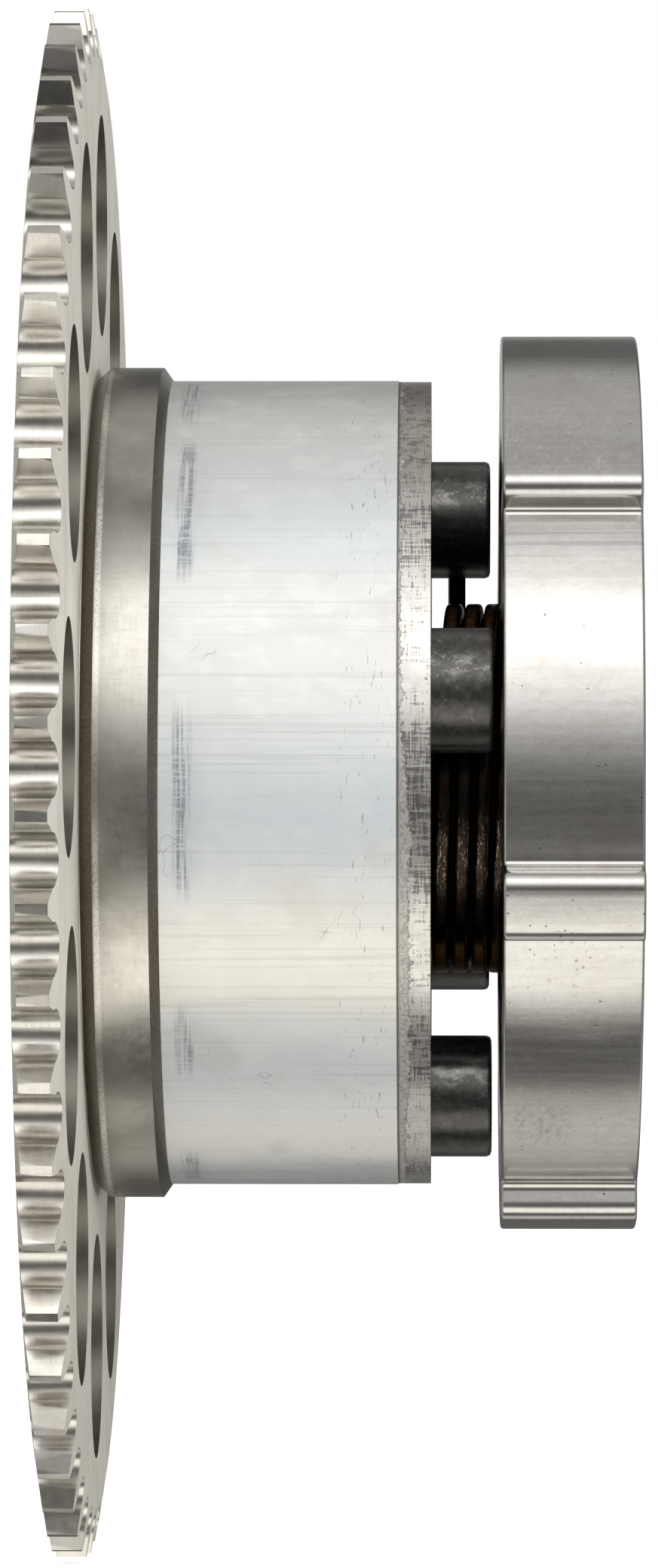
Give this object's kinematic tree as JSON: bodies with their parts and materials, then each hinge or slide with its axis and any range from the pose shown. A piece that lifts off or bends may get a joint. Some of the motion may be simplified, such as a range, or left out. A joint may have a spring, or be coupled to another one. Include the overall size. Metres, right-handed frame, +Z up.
{
  "type": "camshaft phaser",
  "caption": "Vane-type camshaft phaser with a chain sprocket, an aluminium stator, a bias spring and a stepped trigger wheel.",
  "frame": {"origin": "centre of the camshaft socket's mouth, in the plane of the sprocket's rear face", "axes": "+X along the camshaft axis from the sprocket towards the trigger wheel; +Z up in the display pose; -Y towards the viewer"},
  "size_m": [0.0572, 0.152, 0.1518],
  "materials": {
    "sprocket_steel": "satin machined steel with a thin brown oil film",
    "housing_aluminium": "turned aluminium, pale and slightly blue",
    "cover_steel": "ground steel, dark and scratched",
    "black_oxide": "black oxide, satin",
    "hard_steel": "ground hardened steel",
    "seal_rubber": "matt rubber",
    "rotor_steel": "sintered and ground steel",
    "spring_steel": "oil-tempered square wire, dark brown",
    "brass": "turned brass",
    "wheel_steel": "satin steel drawn along the axis",
    "seal_plastic": "moulded seal plastic",
    "leaf_steel": "rolled spring strip"
  },
  "bodies": {
    "rotor_set": {"rotor": "rotor_steel", "lock_pin_sleeve": "hard_steel", "lock_pin_cap": "brass", "lock_pin_spring": "spring_steel", "hub_spacer": "rotor_steel", "wheel_dowels": "hard_steel", "bias_spring": "spring_steel", "trigger_wheel": "wheel_steel", "vane_seal_1": "seal_plastic", "vane_seal_2": "seal_plastic", "vane_seal_3": "seal_plastic", "vane_seal_4": "seal_plastic", "vane_seal_spring_1": "leaf_steel", "vane_seal_spring_2": "leaf_steel", "vane_seal_spring_3": "leaf_steel", "vane_seal_spring_4": "leaf_steel"},
    "drive_set": {"sprocket": "sprocket_steel", "stator_housing": "housing_aluminium", "cover_plate": "cover_steel", "cap_screws": "black_oxide", "housing_dowels": "hard_steel", "housing_o_ring": "seal_rubber", "cover_o_ring": "seal_rubber", "lock_pin_seat": "hard_steel", "lobe_seal_1": "seal_plastic", "lobe_seal_2": "seal_plastic", "lobe_seal_3": "seal_plastic", "lobe_seal_4": "seal_plastic", "lobe_seal_spring_1": "leaf_steel", "lobe_seal_spring_2": "leaf_steel", "lobe_seal_spring_3": "leaf_steel", "lobe_seal_spring_4": "leaf_steel"},
    "lock_pin": {"lock_pin": "hard_steel"}
  },
  "joints": [
    {"name": "phase", "type": "hinge", "parent": "rotor_set", "child": "drive_set", "pos_m": [0, 0, 0], "axis": [-1, 0, 0], "range_deg": [0, 22], "stiffness_Nm_per_rad": 0.5, "springref_deg": -45.84, "deforming": ["bias_spring"]},
    {"name": "lock_pin_slide", "type": "slide", "parent": "rotor_set", "child": "lock_pin", "axis": [1, 0, 0], "range_m": [0, 0.0035], "stiffness_N_per_m": 60, "springref_m": -0.003, "deforming": ["lock_pin_spring"]}
  ]
}
